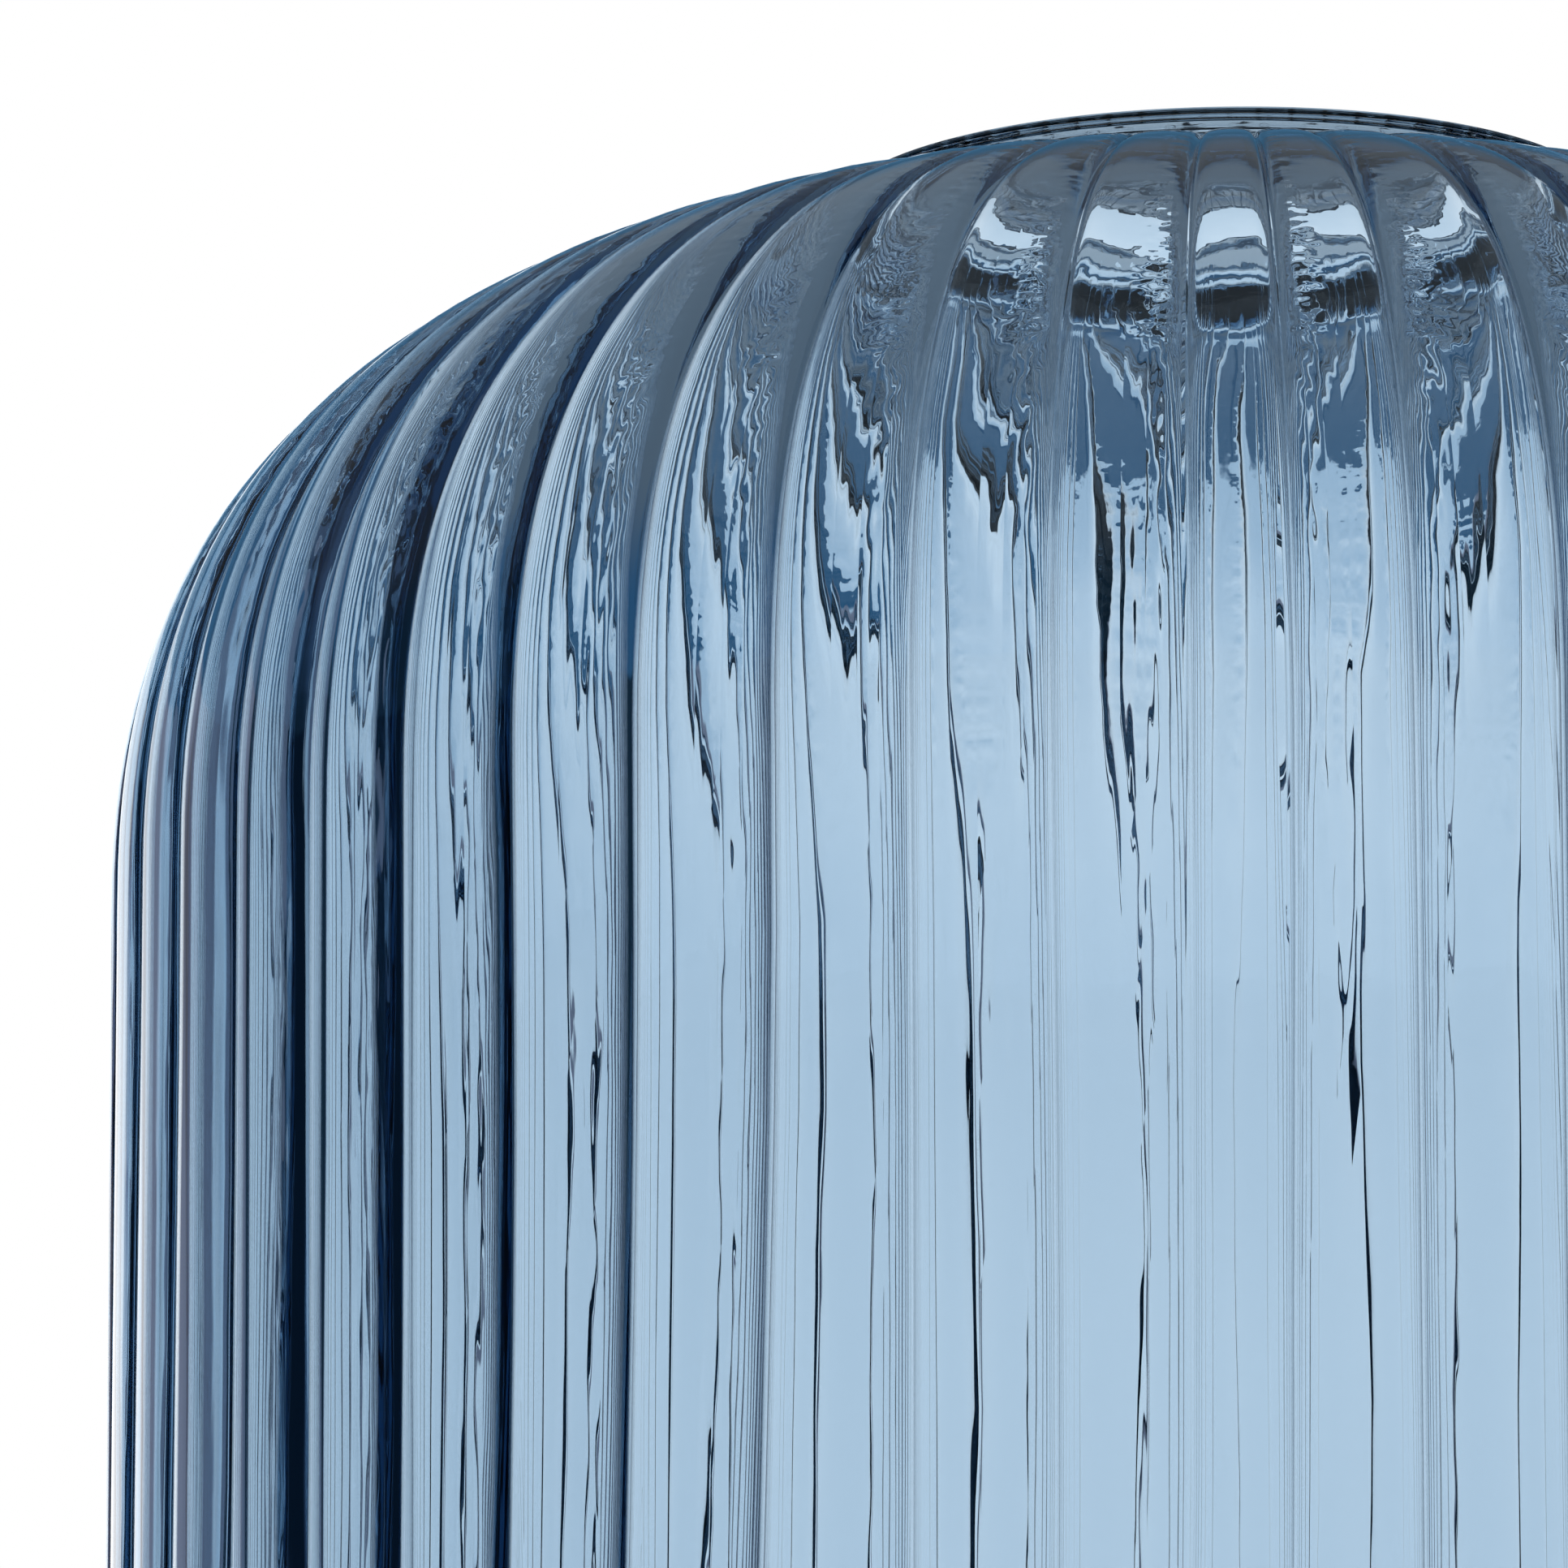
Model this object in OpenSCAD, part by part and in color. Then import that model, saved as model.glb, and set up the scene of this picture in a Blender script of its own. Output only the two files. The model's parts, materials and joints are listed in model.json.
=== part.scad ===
// Ribbed glass bud vase: a mould-blown bottle shape with a straight body,
// a domed shoulder and a small plain lip. It is one piece of glass, drawn
// here as four zones that meet face to face: foot, body wall, shoulder, lip.
// Origin: centre of the resting plane. +Z runs up the axis to the mouth.
// The two mould seams lie at -Y and +Y. All lengths are in millimetres.

/* [Body] */
// Overall height, from the resting plane to the top of the lip
vase_height = 105; // [95:1:140]
// Radius over the crests of the ribs
body_radius = 40; // [34:0.5:50]
// Thickness of the glass, from a rib's crest to the cavity
wall_thickness = 3.1; // [2.6:0.1:5]

/* [Foot] */
// Thickness of the glass floor
floor_thickness = 8; // [6:0.5:12]
// Radius of the rounded heel
heel_radius = 6; // [3:0.5:6]
// Radius of the shallow dish under the foot
dish_radius = 26; // [15:1:27]
// Depth of that dish at its middle
dish_depth = 0.8; // [0.3:0.1:2]
// Radius of the rounded corner inside, between floor and wall
cavity_corner = 6; // [3:0.5:8]

/* [Ribs] */
// Number of ribs round the vase
rib_count = 52; // [40:4:60]
// Height of a rib's crest over its groove, on the body
rib_depth = 0.6; // [0.3:0.05:1]
// The same where the ribs run out at the lip
rib_depth_at_lip = 0.2; // [0.1:0.05:0.5]
// Share of that height kept on the mould seams, where the mould opens
seam_rib_share = 0.45; // [0.3:0.05:1]
// Width in degrees of the narrow rib on each mould seam
seam_rib_width = 4.8; // [4:0.1:6]
// Width in degrees of the rib beside it
second_rib_width = 6.1; // [5:0.1:6.5]
// Width in degrees of the next rib
third_rib_width = 6.8; // [5.5:0.1:7]

/* [Shoulder] */
// Height of the dome from the top of the straight wall to its apex
dome_height = 26.3; // [22:0.1:32]
// How square the dome is across; 2 is an ellipse
dome_squareness_across = 2.67; // [2:0.01:3.5]
// How square the dome is upwards; 2 is an ellipse
dome_squareness_up = 2.4; // [2:0.01:3.5]
// Thickness of the glass at the top of the dome
crown_thickness = 2.8; // [2.6:0.1:5]
// How square the cavity's dome is across; 2 is an ellipse
cavity_squareness_across = 3.5; // [2.6:0.1:3.6]
// How square the cavity's dome is upwards; 2 is an ellipse
cavity_squareness_up = 2.4; // [2:0.1:2.6]

/* [Lip] */
// Outer radius of the lip
lip_radius = 14.2; // [13:0.1:18]
// Radius of the mouth
mouth_radius = 10.5; // [8:0.1:11]
// How far the lip stands above the dome's apex
lip_rise = 0.7; // [0.5:0.1:2]
// Radius of the lip's rounded edges
lip_rounding = 1.2; // [0.6:0.1:1.4]

/* [Hidden] */

glass_blue = [0.55, 0.70, 0.83];

dome_apex_z = vase_height - lip_rise;
dome_base_z = dome_apex_z - dome_height;
cavity_radius = body_radius - wall_thickness;
groove_radius = body_radius - rib_depth;

points_per_rib = 4;     // steps across one rib
dome_rings = 15;        // rings of points up the shoulder
cavity_steps = 24;      // steps up the cavity's dome
arc_steps = 8;          // steps round a small rounded corner
hidden_step = 0.6;      // how far the shoulder's outer skin runs in past the lip
cut = 1;                // how far a cutting solid runs past a face
round_fn = 180;

// Ribs in half a turn, from the middle of one seam rib to the other.
half_ribs = rib_count / 2;
plain_rib_width =
    (180 - seam_rib_width - 2 * second_rib_width - 2 * third_rib_width) / (half_ribs - 5);

// Width in degrees of rib i, counted from a seam rib.
function rib_width(i) =
    let (k = min(i % half_ribs, half_ribs - i % half_ribs))
    k == 0 ? seam_rib_width : k == 1 ? second_rib_width : k == 2 ? third_rib_width : plain_rib_width;

// Angle at which rib i starts; the first seam rib is centred on -Y.
function rib_start(i) =
    i == 0 ? -90 - seam_rib_width / 2 : rib_start(i - 1) + rib_width(i - 1);

rib_starts = [for (i = [0:rib_count - 1]) rib_start(i)];

// Share of the rib depth that rib i has; it grows over the first six ribs from a seam.
function rib_share(i) =
    let (k = min(i % half_ribs, half_ribs - i % half_ribs))
    min(1, seam_rib_share + (1 - seam_rib_share) * k / 6);

// Share in the groove before rib i, halfway between its two neighbours.
function groove_share(i) = (rib_share(i) + rib_share(i + rib_count - 1)) / 2;

// Every point round the vase: [angle, share of the rib depth cut away there].
// A rib's crown is a parabola, 0 at its crest and 1 in the grooves.
rib_round = [
    for (i = [0:rib_count - 1], j = [0:points_per_rib - 1])
        let (across = j / points_per_rib, share = j == 0 ? groove_share(i) : rib_share(i))
        [rib_starts[i] + across * rib_width(i), share * pow(2 * across - 1, 2)]
];

// Both domes as [radius, height, squareness across, squareness up].
outer_dome = [body_radius, dome_height, dome_squareness_across, dome_squareness_up];
inner_dome = [
    cavity_radius, dome_height - crown_thickness, cavity_squareness_across, cavity_squareness_up
];

// Point on a dome at parameter t: [radius, height above its base].
function dome_point(dome, t) = [
    dome[0] * pow(cos(t), 2 / dome[2]),
    dome[1] * pow(sin(t), 2 / dome[3])
];

// Parameter at which a dome has the radius r.
function dome_t(dome, r) = acos(pow(r / dome[0], dome[2] / 2));

// Height of a dome above its base at the radius r.
function dome_height_at(dome, r) = dome_point(dome, dome_t(dome, r))[1];

// Outward unit normal of the outer dome at one of its points.
function dome_normal(p) =
    let (
        across = dome_squareness_across * pow(p[0] / body_radius, dome_squareness_across - 1) / body_radius,
        up = dome_squareness_up * pow(max(p[1], 0) / dome_height, dome_squareness_up - 1) / dome_height
    )
    [across, up] / norm([across, up]);

// Points of an arc in the radius-height plane.
function arc(centre, radius, from, to) = [
    for (i = [0:arc_steps])
        let (a = from + (to - from) * i / arc_steps)
        centre + radius * [cos(a), sin(a)]
];

cavity_top_z = dome_base_z + dome_height_at(inner_dome, mouth_radius);
lip_underside_z = dome_base_z + dome_height_at(inner_dome, lip_radius);

// Cavity outline from the top of the straight wall to the lip.
cavity_dome = [
    for (i = [0:cavity_steps])
        let (t = dome_t(inner_dome, lip_radius) * i / cavity_steps)
        dome_point(inner_dome, t) + [0, dome_base_z]
];

// Thick floor with a rounded heel; it rests on the flat ring round the dish.
module foot() {
    color(glass_blue)
    rotate_extrude($fn = round_fn)
    polygon(concat(
        [[0, dish_depth], [dish_radius, 0]],
        arc([groove_radius - heel_radius, heel_radius], heel_radius, -90, 0),
        [[groove_radius, floor_thickness], [0, floor_thickness]]
    ));
}

// Straight ribbed wall, round and smooth inside.
module body_wall() {
    color(glass_blue)
    difference() {
        translate([0, 0, floor_thickness])
        linear_extrude(dome_base_z - floor_thickness)
        polygon([
            for (p = rib_round)
                (body_radius - rib_depth * p[1]) * [cos(p[0]), sin(p[0])]
        ]);
        rotate_extrude($fn = round_fn)
        polygon(concat(
            [[0, floor_thickness - cut], [cavity_radius - cavity_corner, floor_thickness - cut]],
            arc([cavity_radius - cavity_corner, floor_thickness + cavity_corner], cavity_corner, -90, 0),
            [[cavity_radius, dome_base_z + cut], [0, dome_base_z + cut]]
        ));
    }
}

// Ribbed skin of the dome as a closed solid; each ring is one height.
module dome_skin() {
    t_end = dome_t(outer_dome, lip_radius - hidden_step);
    around = len(rib_round);
    points = [
        for (i = [0:dome_rings])
            let (
                share = i / dome_rings,
                p = dome_point(outer_dome, t_end * share),
                n = dome_normal(p),
                depth = rib_depth + (rib_depth_at_lip - rib_depth) * share
            )
            for (q = rib_round)
                let (r = p[0] - depth * q[1] * n[0])
                [r * cos(q[0]), r * sin(q[0]), dome_base_z + p[1] - depth * q[1] * n[1]]
    ];
    faces = concat(
        [[for (k = [0:around - 1]) k]],
        [
            for (i = [0:dome_rings - 1], k = [0:around - 1])
                let (a = i * around + k, b = i * around + (k + 1) % around)
                each [[a, b + around, b], [a, a + around, b + around]]
        ],
        [[for (k = [around - 1:-1:0]) dome_rings * around + k]]
    );
    polyhedron(points, faces, convexity = 4);
}

// Domed shoulder from the straight wall up to the lip.
module shoulder() {
    color(glass_blue)
    difference() {
        dome_skin();
        rotate_extrude($fn = round_fn)
        polygon(concat(
            [[0, dome_base_z - cut], [cavity_radius, dome_base_z - cut]],
            cavity_dome,
            [[lip_radius, vase_height + cut], [0, vase_height + cut]]
        ));
    }
}

// Plain fire-polished lip round the mouth.
module lip() {
    color(glass_blue)
    rotate_extrude($fn = round_fn)
    polygon(concat(
        [[lip_radius, lip_underside_z]],
        arc([lip_radius - lip_rounding, vase_height - lip_rounding], lip_rounding, 0, 90),
        arc([mouth_radius + lip_rounding, vase_height - lip_rounding], lip_rounding, 90, 180),
        arc([mouth_radius + lip_rounding, cavity_top_z + lip_rounding], lip_rounding, 180, 250)
    ));
}

foot();
body_wall();
shoulder();
lip();
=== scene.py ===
"""Ribbed blue glass bud vase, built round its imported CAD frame.

The vase is one closed skin of glass. A Geometry Nodes tree turns its section round the axis, presses
the ribs into it, lets them wander a little, ripples the inside, and marks the strips that the mould
dragged over as it opened. Everything is in metres, in the frame of the CAD model. The camera is on the
-Y side, where one of the two mould seams lies.
"""
import json
import math

import bpy
from mathutils import Matrix, Vector


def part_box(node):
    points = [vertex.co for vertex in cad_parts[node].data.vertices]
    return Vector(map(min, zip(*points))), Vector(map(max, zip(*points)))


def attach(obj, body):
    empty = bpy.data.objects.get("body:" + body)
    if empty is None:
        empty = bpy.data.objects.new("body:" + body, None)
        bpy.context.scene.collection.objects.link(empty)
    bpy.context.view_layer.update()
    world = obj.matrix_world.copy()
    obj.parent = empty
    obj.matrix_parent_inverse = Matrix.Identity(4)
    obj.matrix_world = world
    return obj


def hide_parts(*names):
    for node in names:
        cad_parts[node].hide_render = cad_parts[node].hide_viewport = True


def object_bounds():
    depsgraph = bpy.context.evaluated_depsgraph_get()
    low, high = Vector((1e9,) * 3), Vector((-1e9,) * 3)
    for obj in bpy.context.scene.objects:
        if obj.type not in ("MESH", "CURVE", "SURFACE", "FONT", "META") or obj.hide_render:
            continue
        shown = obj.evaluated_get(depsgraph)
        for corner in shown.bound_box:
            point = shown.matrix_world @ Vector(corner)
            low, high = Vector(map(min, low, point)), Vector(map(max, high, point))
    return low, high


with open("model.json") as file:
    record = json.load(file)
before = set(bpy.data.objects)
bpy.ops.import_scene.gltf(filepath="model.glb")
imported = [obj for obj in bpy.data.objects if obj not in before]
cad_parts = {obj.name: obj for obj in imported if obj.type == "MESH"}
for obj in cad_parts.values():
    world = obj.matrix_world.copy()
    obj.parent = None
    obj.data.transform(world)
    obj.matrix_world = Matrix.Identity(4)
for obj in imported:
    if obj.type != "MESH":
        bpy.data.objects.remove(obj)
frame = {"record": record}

MM = 0.001
cad_low, cad_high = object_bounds()

# Sizes read from the frame
VASE_HEIGHT = cad_high.z
BODY_RADIUS = cad_high.x
FLOOR_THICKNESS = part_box("foot")[1].z
DOME_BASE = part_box("body_wall")[1].z
LIP_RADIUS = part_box("lip")[1].x
MOUNTS = {mount["name"]: mount for mount in frame["record"]["mounts"]}
MOUTH_RADIUS = MOUNTS["mouth"]["dims"]["r_mm"] * MM

# The section of the glass; the squareness of a dome is (across, up), and 2 is an ellipse
WALL_THICKNESS = 3.1 * MM
CROWN_THICKNESS = 2.8 * MM
LIP_RISE = 0.7 * MM
DOME_HEIGHT = VASE_HEIGHT - LIP_RISE - DOME_BASE
DOME_SQUARENESS = (2.67, 2.4)
CAVITY_SQUARENESS = (3.5, 2.4)
LIP_ROUNDING = 1.2 * MM
LIP_BEAD = 0.22 * MM
HEEL_RADIUS = 6.7 * MM
CAVITY_CORNER = 6 * MM
DISH_RADIUS = 26 * MM
DISH_DEPTH = 0.8 * MM

# The number of rings of points up each stretch of the section
WALL_RINGS = 12
DOME_RINGS = 40
CAVITY_DOME_RINGS = 30

# The ribs; widths and angles are in degrees, and the widths run from the rib on a seam
RIB_COUNT = 52
RIB_DEPTH = 0.7 * MM
RIB_DEPTH_SHARE_AT_LIP = 0.4
SEAM_RIB_SHARE = 0.45
SEAM_RIB_WIDTHS = (4.8, 6.1, 6.8)
FREE_OF_SEAM = 24

# Across a rib, from 0 to 1: points, place of the crest at a seam and away from it, and shape
RIB_STEPS = (0.0, 0.02, 0.05, 0.1, 0.18, 0.32, 0.5, 0.68, 0.82, 0.9, 0.95, 0.98)
CREST_AT_SEAM = 0.62
CREST_AWAY = 0.5
ROUND_SHARE = 0.4
ROUND_POWER = 2.5
CREASE_POWER = 10

# The strip on each rib that the mould drags over, and how much of it is left on the body; the rib on a
# seam has none, and the strip comes in between these two angles from the seam
DRAG_PLACE = 0.2
DRAG_WIDTH = 0.11
DRAG_FROM = 2
DRAG_FULL = 6
BODY_DRAG_AT_SEAM = 0.15
BODY_DRAG_AWAY = 0.5
NEAR_SEAM = 8
FAR_FROM_SEAM = 30

# The colour the glass takes on with depth
TINT = (0.229, 0.446, 0.605, 1)
TINT_DENSITY = 240.0

# The studio, as the glass sees it
BACKDROP = (1.54, 1.54, 1.54, 1)
BACKDROP_TOP = (0.90, 1.05, 1.18, 1)
SIDE_WALLS = (0.34, 0.34, 0.42, 1)
DARK_ROOM = (0.02, 0.045, 0.07, 1)
CEILING = (0.06, 0.17, 0.30, 1)
OVERHEAD_LIGHT = (0.21, 0.25, 0.29, 1)


def smooth(value, low, high):
    """0 below low, 1 above high, and an easy curve between them."""
    x = min(max((value - low) / (high - low), 0), 1)
    return x * x * (3 - 2 * x)


def rib_widths():
    """Width of every rib in degrees, from the rib on the seam at -Y round the vase."""
    half = RIB_COUNT // 2
    seam, second, third = SEAM_RIB_WIDTHS
    plain = (180 - seam - 2 * second - 2 * third) / (half - 5)
    near = {0: seam, 1: second, 2: third}
    return [near.get(min(i % half, half - i % half), plain) for i in range(RIB_COUNT)]


def rib_section(step, from_seam):
    """(fall, drag) at a step across a rib, where from_seam is the rib's angle from the nearest seam.

    A mould that opens sideways can't hold a rib's flank that faces its seam, so near the seam the ribs are
    shallower and lean away from it, and the mould drags over the flank that faces it and roughens it.
    step runs from the side that faces the seam.
    """
    free = smooth(from_seam, 0, FREE_OF_SEAM)
    crest = CREST_AT_SEAM + (CREST_AWAY - CREST_AT_SEAM) * free
    from_crest = (crest - step) / crest if step < crest else (step - crest) / (1 - crest)
    crown = ROUND_SHARE * from_crest ** ROUND_POWER
    crease = (1 - ROUND_SHARE) * from_crest ** CREASE_POWER
    share = SEAM_RIB_SHARE + (1 - SEAM_RIB_SHARE) * free
    drag = math.exp(-((step - DRAG_PLACE) / DRAG_WIDTH) ** 2)
    return share * (crown + crease), drag * smooth(from_seam, DRAG_FROM, DRAG_FULL)


def ring_points():
    """(angle, fall, drag, from_seam) for every point round the vase.

    fall is 0 on a crest and 1 in a groove, and from_seam is in degrees.
    """
    points = []
    start = -SEAM_RIB_WIDTHS[0] / 2
    for width in rib_widths():
        middle = (start + width / 2) % 180
        from_seam = min(middle, 180 - middle)
        leaves_seam = middle < 90
        for step in RIB_STEPS:
            side = step if leaves_seam else 1 - step
            fall, drag = rib_section(side, from_seam)
            points.append((math.radians(start + step * width - 90), fall, drag, from_seam))
        start += width
    return points


def dome_line(radius, height, squareness, stop_radius, steps):
    """Points up a squared-off dome from its base to stop_radius, as (radius, height over DOME_BASE)."""
    across, up = squareness
    last = math.acos((stop_radius / radius) ** (across / 2))
    line = []
    for i in range(1, steps + 1):
        t = last * i / steps
        line.append((radius * math.cos(t) ** (2 / across), height * math.sin(t) ** (2 / up)))
    return line


def arc(centre, radius, start, end, steps):
    """Points of an arc in the radius-height plane, angles in degrees, both ends included."""
    angles = [math.radians(start + (end - start) * i / steps) for i in range(steps + 1)]
    return [(centre[0] + radius * math.cos(a), centre[1] + radius * math.sin(a)) for a in angles]


def profile_points():
    """The whole section of the glass as (radius, height, rib depth, inside).

    It runs from the middle of the dish under the foot, up the outside, over the lip and down the inside
    to the middle of the floor. inside is 1 on the cavity's side.
    """
    points = []

    def add(line, depth, inside):
        for r, z in line:
            points.append((r, z, depth(r, z), inside))

    def none(r, z):
        return 0.0

    def full(r, z):
        return RIB_DEPTH

    def heel_ribs(r, z):
        return RIB_DEPTH * smooth(z, 0.8 * MM, HEEL_RADIUS)

    def dome_ribs(r, z):
        kept = smooth(r, LIP_RADIUS, LIP_RADIUS + 4 * MM)
        return RIB_DEPTH * (RIB_DEPTH_SHARE_AT_LIP + (1 - RIB_DEPTH_SHARE_AT_LIP) * kept)

    # the foot and its heel
    heel_centre = (BODY_RADIUS - HEEL_RADIUS, HEEL_RADIUS)
    add([(0, DISH_DEPTH), (0.5 * DISH_RADIUS, 0.75 * DISH_DEPTH), (DISH_RADIUS, 0)], none, 0)
    add(arc(heel_centre, HEEL_RADIUS, -90, 0, 10), heel_ribs, 0)

    # the outside of the wall and the dome
    rise = (DOME_BASE - HEEL_RADIUS) / WALL_RINGS
    add([(BODY_RADIUS, HEEL_RADIUS + rise * i) for i in range(1, WALL_RINGS + 1)], full, 0)
    stop_radius = LIP_RADIUS + 0.4 * MM
    outer = dome_line(BODY_RADIUS, DOME_HEIGHT, DOME_SQUARENESS, stop_radius, DOME_RINGS)
    add([(r, DOME_BASE + z) for r, z in outer], dome_ribs, 0)

    # the lip, with a bead round its side and another round its top
    foot_of_lip = DOME_BASE + outer[-1][1]
    side_bead = (LIP_RADIUS - LIP_BEAD, foot_of_lip + 0.42 * MM)
    top_bead = (LIP_RADIUS - 1.9 * LIP_BEAD, VASE_HEIGHT - 1.5 * LIP_BEAD)
    lip_middle = MOUTH_RADIUS + LIP_ROUNDING
    add([(LIP_RADIUS + 0.1 * MM, foot_of_lip + 0.08 * MM)], none, 0)
    add(arc(side_bead, LIP_BEAD, -60, 80, 7), none, 0)
    add(arc(top_bead, LIP_BEAD, -60, 90, 8), none, 0)
    add(arc((lip_middle, VASE_HEIGHT - LIP_ROUNDING), LIP_ROUNDING, 90, 180, 6), none, 0)

    # the inside, from under the lip down to the floor
    cavity_radius = BODY_RADIUS - WALL_THICKNESS
    cavity_height = DOME_HEIGHT - CROWN_THICKNESS
    inner = dome_line(cavity_radius, cavity_height, CAVITY_SQUARENESS, MOUTH_RADIUS, CAVITY_DOME_RINGS)
    inner = [(r, DOME_BASE + z) for r, z in inner]
    under_lip = inner[-1][1] + LIP_ROUNDING
    add(arc((lip_middle, under_lip), LIP_ROUNDING, 180, 250, 4), none, 1)
    inner = [p for p in inner if p[0] > points[-1][0] + 0.5 * MM]
    add(reversed(inner), none, 1)
    corner = (cavity_radius - CAVITY_CORNER, FLOOR_THICKNESS + CAVITY_CORNER)
    drop = (DOME_BASE - corner[1]) / WALL_RINGS
    add([(cavity_radius, DOME_BASE - drop * i) for i in range(WALL_RINGS)], none, 1)
    add(arc(corner, CAVITY_CORNER, 0, -90, 8), none, 1)
    add([(0.5 * cavity_radius, FLOOR_THICKNESS), (0, FLOOR_THICKNESS)], none, 1)
    return points


def point_cloud_mesh(name, points, attributes):
    """A mesh of loose points in order, with one named float attribute for each entry."""
    mesh = bpy.data.meshes.new(name)
    mesh.from_pydata(points, [], [])
    for key, values in attributes.items():
        layer = mesh.attributes.new(key, "FLOAT", "POINT")
        layer.data.foreach_set("value", values)
    thing = bpy.data.objects.new(name, mesh)
    bpy.context.scene.collection.objects.link(thing)
    return thing


def outward(points):
    """Unit normal of the section at each point, in the radius-height plane."""
    normals = []
    for i in range(len(points)):
        before, after = points[max(i - 1, 0)], points[min(i + 1, len(points) - 1)]
        along = Vector((after[0] - before[0], after[1] - before[1]))
        along.normalize()
        normals.append((along.y, -along.x))
    return normals


class Tree:
    """Short calls that add and join nodes in one tree."""

    def __init__(self, nodes):
        self.nodes = nodes.nodes
        self.links = nodes.links

    def join(self, value, socket):
        if isinstance(value, bpy.types.NodeSocket):
            self.links.new(value, socket)
        elif value is not None:
            socket.default_value = value

    def add(self, kind, inputs=(), **settings):
        node = self.nodes.new(kind)
        for key, value in settings.items():
            setattr(node, key, value)
        for key, value in dict(inputs).items():
            self.join(value, node.inputs[key])
        return node

    def math(self, operation, a, b=None, c=None):
        node = self.add("ShaderNodeMath", operation=operation)
        for socket, value in zip(node.inputs, (a, b, c)):
            self.join(value, socket)
        return node.outputs[0]

    def ramp(self, value, low, high, at_low, at_high, curve="LINEAR"):
        """Goes from at_low to at_high while the value goes from low to high."""
        inputs = {"Value": value, "From Min": low, "From Max": high, "To Min": at_low, "To Max": at_high}
        return self.add("ShaderNodeMapRange", inputs, interpolation_type=curve).outputs[0]


def ribbed_glass_tree():
    """The Geometry Nodes tree that turns the section round the axis and presses the ribs into it.

    The object it sits on holds the section's points in order, with rib_depth, inside, out_r and out_z on
    each. The ring object holds one point for each step round the vase, with angle, fall, drag and
    from_seam on each. The result carries inside and drag, which the material reads.
    """
    group = bpy.data.node_groups.new("ribbed glass", "GeometryNodeTree")
    face = group.interface
    face.new_socket("Geometry", in_out="INPUT", socket_type="NodeSocketGeometry")
    face.new_socket("Ring", in_out="INPUT", socket_type="NodeSocketObject")
    for name in ("Rib Wander", "Wander Scale", "Wander Spread", "Inside Ripple", "Ripple Scale",
                 "Inside Ribs", "Seed", "Weld Distance"):
        face.new_socket(name, in_out="INPUT", socket_type="NodeSocketFloat")
    face.new_socket("Material", in_out="INPUT", socket_type="NodeSocketMaterial")
    face.new_socket("Geometry", in_out="OUTPUT", socket_type="NodeSocketGeometry")
    t = Tree(group)
    given = t.add("NodeGroupInput").outputs
    result = t.add("NodeGroupOutput")
    section = given["Geometry"]
    ring = t.add("GeometryNodeObjectInfo", {"Object": given["Ring"]}).outputs["Geometry"]

    # a flat sheet with a row for each point of the section and a column for each point of the ring
    def count(geometry):
        return t.add("GeometryNodeAttributeDomainSize", {"Geometry": geometry}).outputs["Point Count"]

    up = count(section)
    around = count(ring)
    columns = t.math("ADD", around, 1)
    sheet = t.add("GeometryNodeMeshGrid", {"Vertices X": columns, "Vertices Y": up}).outputs["Mesh"]

    index = t.add("GeometryNodeInputIndex").outputs[0]
    along = t.math("MODULO", index, up)
    place = t.math("MODULO", t.math("FLOOR", t.math("DIVIDE", t.math("ADD", index, 0.5), up)), around)

    def sample(geometry, name, where, kind="FLOAT"):
        if name == "position":
            value = t.add("GeometryNodeInputPosition").outputs[0]
        else:
            value = t.add("GeometryNodeInputNamedAttribute", {"Name": name}, data_type=kind).outputs[0]
        node = t.add("GeometryNodeSampleIndex", data_type=kind, domain="POINT")
        t.join(geometry, node.inputs["Geometry"])
        t.join(value, node.inputs["Value"])
        t.join(where, node.inputs["Index"])
        return node.outputs["Value"]

    spot = t.add("ShaderNodeSeparateXYZ", {"Vector": sample(section, "position", along, "FLOAT_VECTOR")})
    radius, height = spot.outputs["X"], spot.outputs["Z"]
    depth = sample(section, "rib_depth", along)
    inside = sample(section, "inside", along)
    out_r = sample(section, "out_r", along)
    out_z = sample(section, "out_z", along)
    angle = sample(ring, "angle", place)
    fall = sample(ring, "fall", place)
    drag = sample(ring, "drag", place)
    from_seam = sample(ring, "from_seam", place)

    def noise(vector, w, scale, detail):
        node = t.add("ShaderNodeTexNoise", {"Vector": vector, "W": w, "Scale": scale, "Detail": detail},
                     noise_dimensions="4D")
        return t.math("SUBTRACT", node.outputs[0], 0.5)

    # each groove drifts sideways on its own, and a little with its neighbours; the drift changes
    # smoothly from one groove to the next, so that the ribs between them never fold over
    spread_out = t.add("ShaderNodeCombineXYZ", {
        "X": t.math("MULTIPLY", t.math("COSINE", angle), given["Wander Spread"]),
        "Y": t.math("MULTIPLY", t.math("SINE", angle), given["Wander Spread"]),
        "Z": height,
    }).outputs[0]
    up_the_wall = t.add("ShaderNodeCombineXYZ", {"Z": height}).outputs[0]
    own = noise(spread_out, given["Seed"], given["Wander Scale"], 1.0)
    shared = noise(up_the_wall, given["Seed"], t.math("MULTIPLY", given["Wander Scale"], 0.6), 0.0)
    ribbed = t.math("MULTIPLY", depth, 1 / RIB_DEPTH)
    drift = t.math("MULTIPLY", t.math("ADD", own, t.math("MULTIPLY", shared, 2.0)), given["Rib Wander"])
    drift = t.math("MULTIPLY", drift, ribbed)
    turned = t.math("ADD", angle, t.math("DIVIDE", drift, t.math("MAXIMUM", radius, BODY_RADIUS / 4)))

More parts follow.
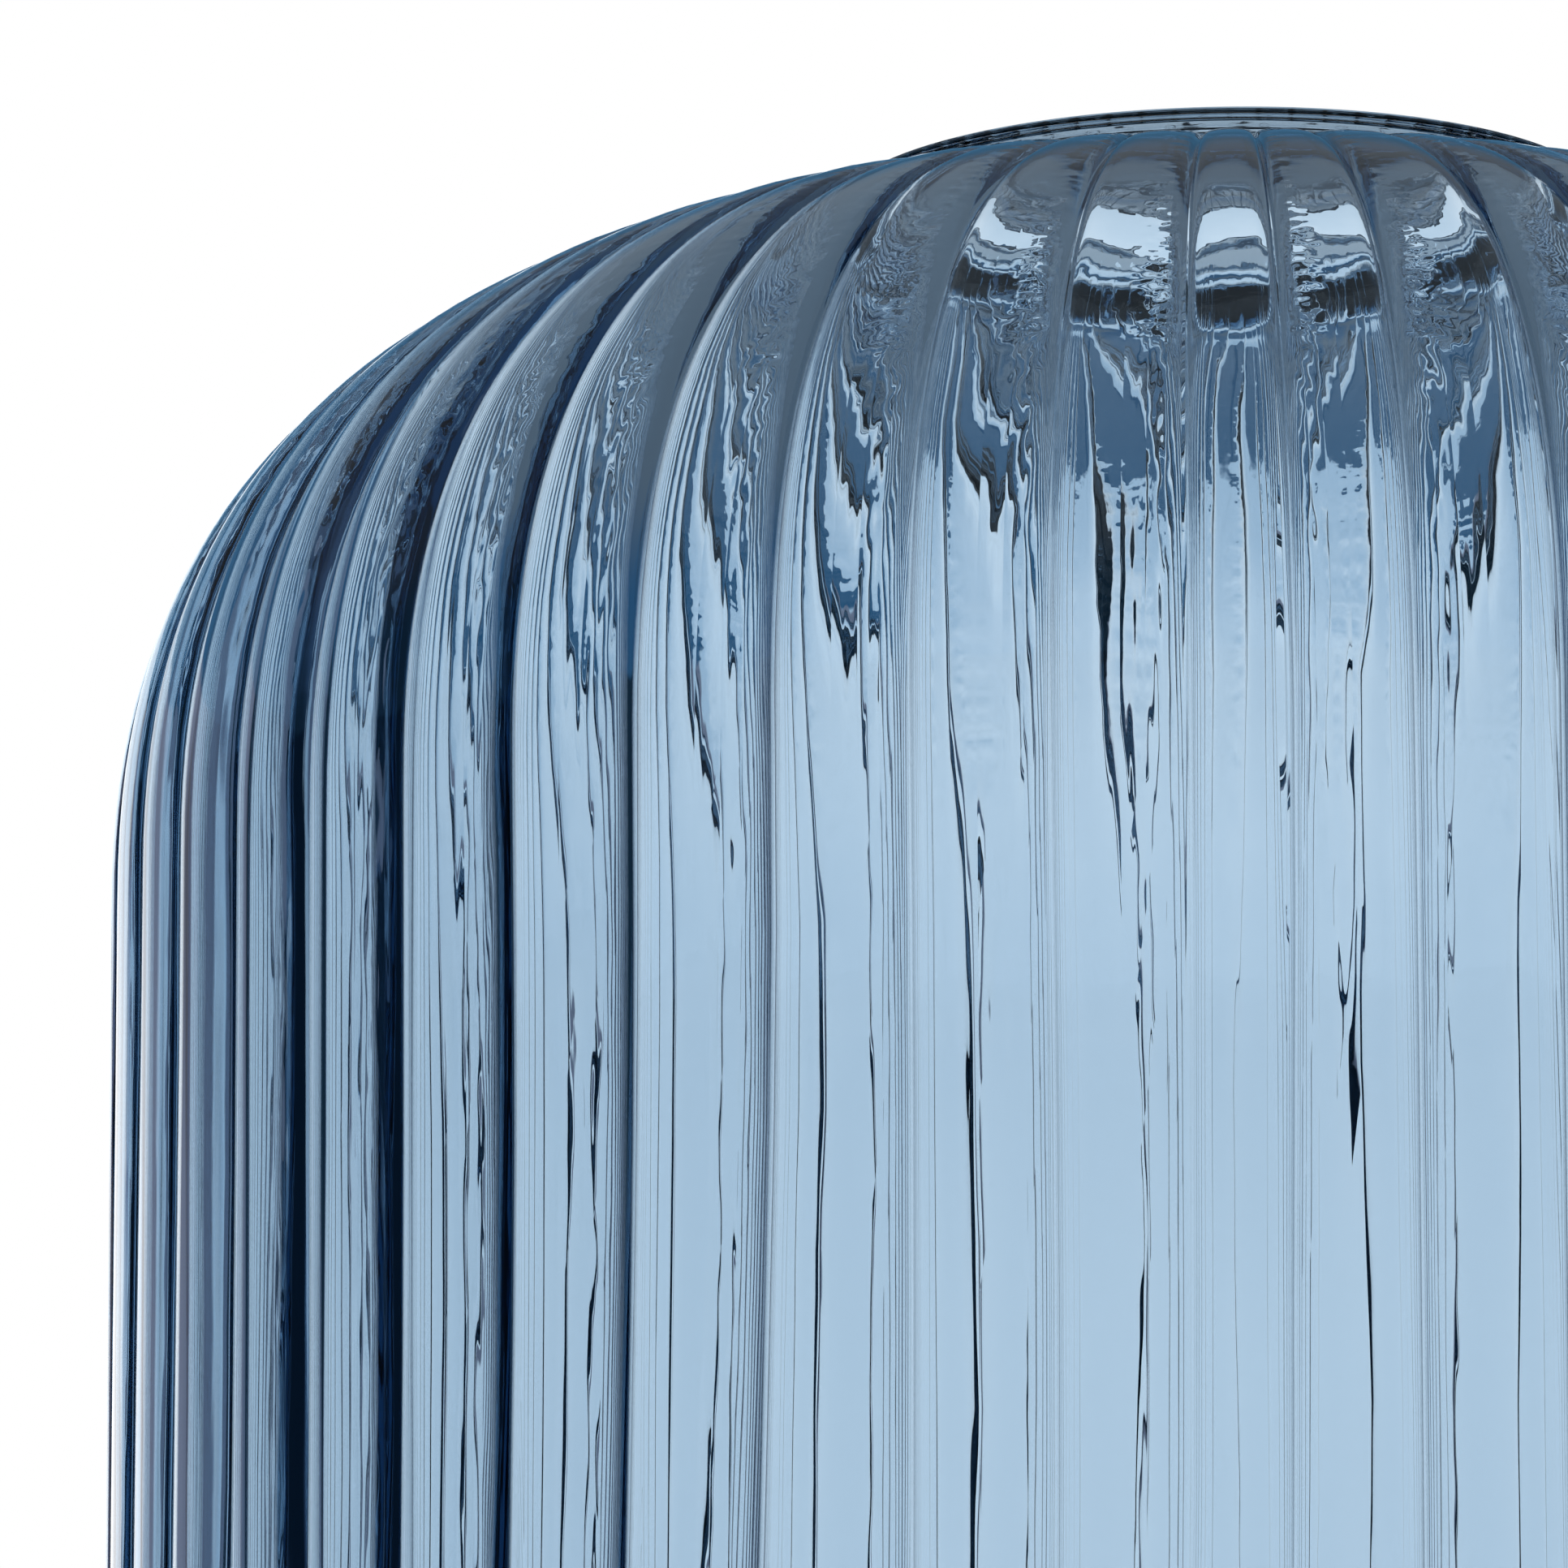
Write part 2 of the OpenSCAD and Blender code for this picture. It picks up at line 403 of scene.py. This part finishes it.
    # the inside ripples, and follows the ribs faintly, though not at the middle of the floor
    there = t.add("ShaderNodeCombineXYZ", {
        "X": t.math("MULTIPLY", radius, t.math("COSINE", turned)),
        "Y": t.math("MULTIPLY", radius, t.math("SINE", turned)),
        "Z": height,
    }).outputs[0]
    ripple = noise(there, given["Seed"], given["Ripple Scale"], 2.0)
    ripple = t.math("MULTIPLY", ripple, given["Inside Ripple"])
    faint = t.math("MULTIPLY", given["Inside Ribs"], t.ramp(radius, 0.0, MOUTH_RADIUS, 0.0, 1.0))
    print_through = t.math("MULTIPLY", t.math("SUBTRACT", 0.5, fall), faint)
    raise_inside = t.math("MULTIPLY", t.math("ADD", ripple, print_through), inside)
    push = t.math("SUBTRACT", raise_inside, t.math("MULTIPLY", depth, fall))
    new_radius = t.math("ADD", radius, t.math("MULTIPLY", push, out_r))
    new_height = t.math("ADD", height, t.math("MULTIPLY", push, out_z))
    position = t.add("ShaderNodeCombineXYZ", {
        "X": t.math("MULTIPLY", new_radius, t.math("COSINE", turned)),
        "Y": t.math("MULTIPLY", new_radius, t.math("SINE", turned)),
        "Z": new_height,
    }).outputs[0]
    shaped = t.add("GeometryNodeSetPosition", {"Geometry": sheet, "Position": position}).outputs[0]

    def mark(geometry, name, value):
        inputs = {"Geometry": geometry, "Name": name, "Value": value}
        kind = "GeometryNodeStoreNamedAttribute"
        return t.add(kind, inputs, data_type="FLOAT", domain="POINT").outputs[0]

    # the dome is dragged most as the mould opens, and on the body the ribs beside a seam least
    on_body = t.ramp(from_seam, NEAR_SEAM, FAR_FROM_SEAM, BODY_DRAG_AT_SEAM, BODY_DRAG_AWAY)
    pull = t.ramp(height, 0.8 * DOME_BASE, DOME_BASE, on_body, 1.0)
    outside = t.math("SUBTRACT", 1.0, inside)
    dragged = t.math("MULTIPLY", t.math("MULTIPLY", drag, pull), t.math("MULTIPLY", ribbed, outside))
    marked = mark(mark(shaped, "inside", inside), "drag", dragged)

    # the sheet's two edges meet, and each of its ends closes to a point
    closed = t.add("GeometryNodeMergeByDistance", {"Geometry": marked, "Distance": given["Weld Distance"]})
    smoothed = t.add("GeometryNodeSetShadeSmooth", {"Geometry": closed.outputs[0], "Shade Smooth": True})
    real = t.add("GeometryNodeRealizeInstances", {"Geometry": smoothed.outputs[0]})
    painted = t.add("GeometryNodeSetMaterial", {"Geometry": real.outputs[0]})
    t.join(given["Material"], painted.inputs["Material"])
    t.join(painted.outputs[0], result.inputs[0])
    return group


def set_inputs(modifier, values):
    """Gives the tree's named inputs their values, by socket identifier."""
    for item in modifier.node_group.interface.items_tree:
        if item.item_type == "SOCKET" and item.in_out == "INPUT" and item.name in values:
            modifier[item.identifier] = values[item.name]


def make_vase(material):
    """The whole vase as one closed mesh, made plain from what the tree puts out."""
    section = profile_points()
    normals = outward(section)
    line = point_cloud_mesh("section", [(r, 0, z) for r, z, depth, inside in section], {
        "rib_depth": [p[2] for p in section],
        "inside": [float(p[3]) for p in section],
        "out_r": [n[0] for n in normals],
        "out_z": [n[1] for n in normals],
    })
    ring = ring_points()
    turn = point_cloud_mesh("ring", [(math.cos(p[0]), math.sin(p[0]), 0) for p in ring], {
        "angle": [p[0] for p in ring],
        "fall": [p[1] for p in ring],
        "drag": [p[2] for p in ring],
        "from_seam": [p[3] for p in ring],
    })
    modifier = line.modifiers.new("ribbed glass", "NODES")
    modifier.node_group = ribbed_glass_tree()
    set_inputs(modifier, {
        "Ring": turn,
        "Rib Wander": 1.6 * MM,
        "Wander Scale": 18.0,
        "Wander Spread": 0.3,
        "Inside Ripple": 0.28 * MM,
        "Ripple Scale": 120.0,
        "Inside Ribs": 0.12 * MM,
        "Seed": 3.0,
        "Weld Distance": 0.001 * MM,
        "Material": material,
    })
    bpy.context.view_layer.update()
    shaped = line.evaluated_get(bpy.context.evaluated_depsgraph_get())
    mesh = bpy.data.meshes.new_from_object(shaped)
    mesh.name = "ribbed_glass"
    bpy.data.objects.remove(line)
    bpy.data.objects.remove(turn)
    vase = bpy.data.objects.new("ribbed_glass", mesh)
    bpy.context.scene.collection.objects.link(vase)
    return vase


def blue_glass():
    """Clear grey-blue glass, darker where the light goes through more of it.

    Fine specks roughen the strips marked drag, and faint streaks run down the glass, most of all inside.
    """
    material = bpy.data.materials.new("blue_glass")
    material.use_nodes = True
    t = Tree(material.node_tree)
    shader = material.node_tree.nodes["Principled BSDF"]
    out = material.node_tree.nodes["Material Output"]
    shader.inputs["Base Color"].default_value = (1, 1, 1, 1)
    shader.inputs["Roughness"].default_value = 0.0
    shader.inputs["IOR"].default_value = 1.5
    shader.inputs["Transmission Weight"].default_value = 1.0
    tint = t.add("ShaderNodeVolumeAbsorption", {"Color": TINT, "Density": TINT_DENSITY})
    t.join(tint.outputs[0], out.inputs["Volume"])
    where = t.add("ShaderNodeTexCoord").outputs["Object"]
    inside = t.add("ShaderNodeAttribute", attribute_name="inside").outputs["Fac"]
    drag = t.add("ShaderNodeAttribute", attribute_name="drag").outputs["Fac"]

    def noise(vector, scale, detail):
        return t.add("ShaderNodeTexNoise", {"Vector": vector, "Scale": scale, "Detail": detail}).outputs[0]

    # the specks are round above half the dome's height; below that the noise is read more slowly up
    # the glass, by this share, which draws them out into long drips
    squeeze = 0.12
    round_from = DOME_BASE + 0.5 * DOME_HEIGHT
    at = t.add("ShaderNodeSeparateXYZ", {"Vector": where}).outputs
    below = t.math("MULTIPLY_ADD", at["Z"], squeeze, (1 - squeeze) * round_from)
    up_the_noise = t.math("MAXIMUM", at["Z"], below)
    smeared = t.add("ShaderNodeCombineXYZ", {"X": at["X"], "Y": at["Y"], "Z": up_the_noise}).outputs[0]
    speck_height = t.math("MULTIPLY_ADD", drag, 0.08, 0.001)
    specks = t.math("MULTIPLY", noise(smeared, 1100.0, 1.5), speck_height)

    drawn_out = t.add("ShaderNodeMapping", {"Vector": where, "Scale": (1.0, 1.0, 0.03)}).outputs[0]
    streak_height = t.math("MULTIPLY_ADD", inside, 0.006, 0.001)
    streaks = t.math("MULTIPLY", noise(drawn_out, 550.0, 3.0), streak_height)
    height = t.math("ADD", specks, streaks)
    bump = t.add("ShaderNodeBump", {"Height": height, "Distance": MM, "Strength": 1.0})
    t.join(bump.outputs[0], shader.inputs["Normal"])
    return material


def studio():
    """A white floor with a faint painted glow, and the studio that glass is lit in: white behind and dark
    to the sides.

    Only reflected and refracted rays see that studio. The camera and the floor see plain white.
    """
    scene = bpy.context.scene
    scene.view_settings.view_transform = "Standard"
    world = bpy.data.worlds.new("studio")
    scene.world = world
    world.use_nodes = True
    t = Tree(world.node_tree)
    background = world.node_tree.nodes["Background"]
    way = t.add("ShaderNodeTexCoord").outputs["Generated"]
    parts = t.add("ShaderNodeSeparateXYZ", {"Vector": way}).outputs

    def fade(value, low, high):
        return t.ramp(value, low, high, 0.0, 1.0, "SMOOTHSTEP")

    def mix(share, first, second):
        node = t.add("ShaderNodeMix", data_type="RGBA")
        for place, value in ((0, share), (6, first), (7, second)):
            t.join(value, node.inputs[place])
        return node.outputs[2]

    # parts is a ray's direction: Y is 1 straight behind the vase, and Z is 1 straight up. The backdrop
    # dims upwards and ends at the ceiling, and grey walls join it to the dark of the room.
    backdrop = mix(fade(parts["Z"], 0.12, 0.28), BACKDROP, BACKDROP_TOP)
    walls = mix(fade(parts["Y"], 0.55, 0.62), DARK_ROOM, SIDE_WALLS)
    around = mix(fade(parts["Y"], 0.76, 0.82), walls, backdrop)
    ceiling = mix(fade(parts["Z"], 0.42, 0.62), CEILING, OVERHEAD_LIGHT)
    seen = mix(fade(parts["Z"], 0.285, 0.295), around, ceiling)
    rays = t.add("ShaderNodeLightPath").outputs
    plain = t.math("MAXIMUM", rays["Is Camera Ray"], t.math("MINIMUM", rays["Diffuse Depth"], 1.0))
    t.join(mix(plain, seen, (1.0, 1.0, 1.0, 1)), background.inputs["Color"])

    side = 3.0
    corners = [(-side, -side, 0), (side, -side, 0), (side, side, 0), (-side, side, 0)]
    floor_mesh = bpy.data.meshes.new("floor")
    floor_mesh.from_pydata(corners, [], [(0, 1, 2, 3)])
    floor = bpy.data.objects.new("floor", floor_mesh)
    scene.collection.objects.link(floor)
    white = bpy.data.materials.new("white_floor")
    white.use_nodes = True
    glowing_floor = white.node_tree.nodes["Principled BSDF"]
    glowing_floor.inputs["Base Color"].default_value = (0.6, 0.6, 0.6, 1)
    glowing_floor.inputs["Roughness"].default_value = 0.8
    # the floor glows faintly, a painted glow with no lamp behind it: it lifts the shadow under the vase
    # and, with the grey base colour, makes the floor read plain white
    glowing_floor.inputs["Emission Color"].default_value = (1, 1, 1, 1)
    glowing_floor.inputs["Emission Strength"].default_value = 0.36
    floor_mesh.materials.append(white)


def camera():
    """A long lens at table height, close to the vase, looking up at its shoulder from a little left."""
    distance = 8 * BODY_RADIUS
    height = VASE_HEIGHT - 2.036 * BODY_RADIUS
    yaw, pitch, roll = (math.radians(a) for a in (2.85, 10.63, -0.34))
    forward = Vector((-math.sin(yaw) * math.cos(pitch), math.cos(yaw) * math.cos(pitch), math.sin(pitch)))
    level = Vector((math.cos(yaw), math.sin(yaw), 0))
    upright = level.cross(forward)
    right = math.cos(roll) * level + math.sin(roll) * upright
    up = right.cross(forward)
    data = bpy.data.cameras.new("camera")
    data.sensor_width = 36.0
    data.lens = 207.8
    data.clip_start = 0.01
    data.clip_end = 20.0
    eye = bpy.data.objects.new("camera", data)
    bpy.context.scene.collection.objects.link(eye)
    turn = Matrix((right, up, -forward)).transposed()
    eye.matrix_world = Matrix.Translation((0, -distance, height)) @ turn.to_4x4()
    bpy.context.scene.camera = eye


camera()
studio()
vase = make_vase(blue_glass())
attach(vase, "root")
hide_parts("foot", "body_wall", "shoulder", "lip")

# light turns many times between the ribs and the cavity before it leaves the glass
bpy.context.scene.cycles.max_bounces = 32
bpy.context.scene.cycles.transmission_bounces = 32
bpy.context.scene.cycles.glossy_bounces = 16
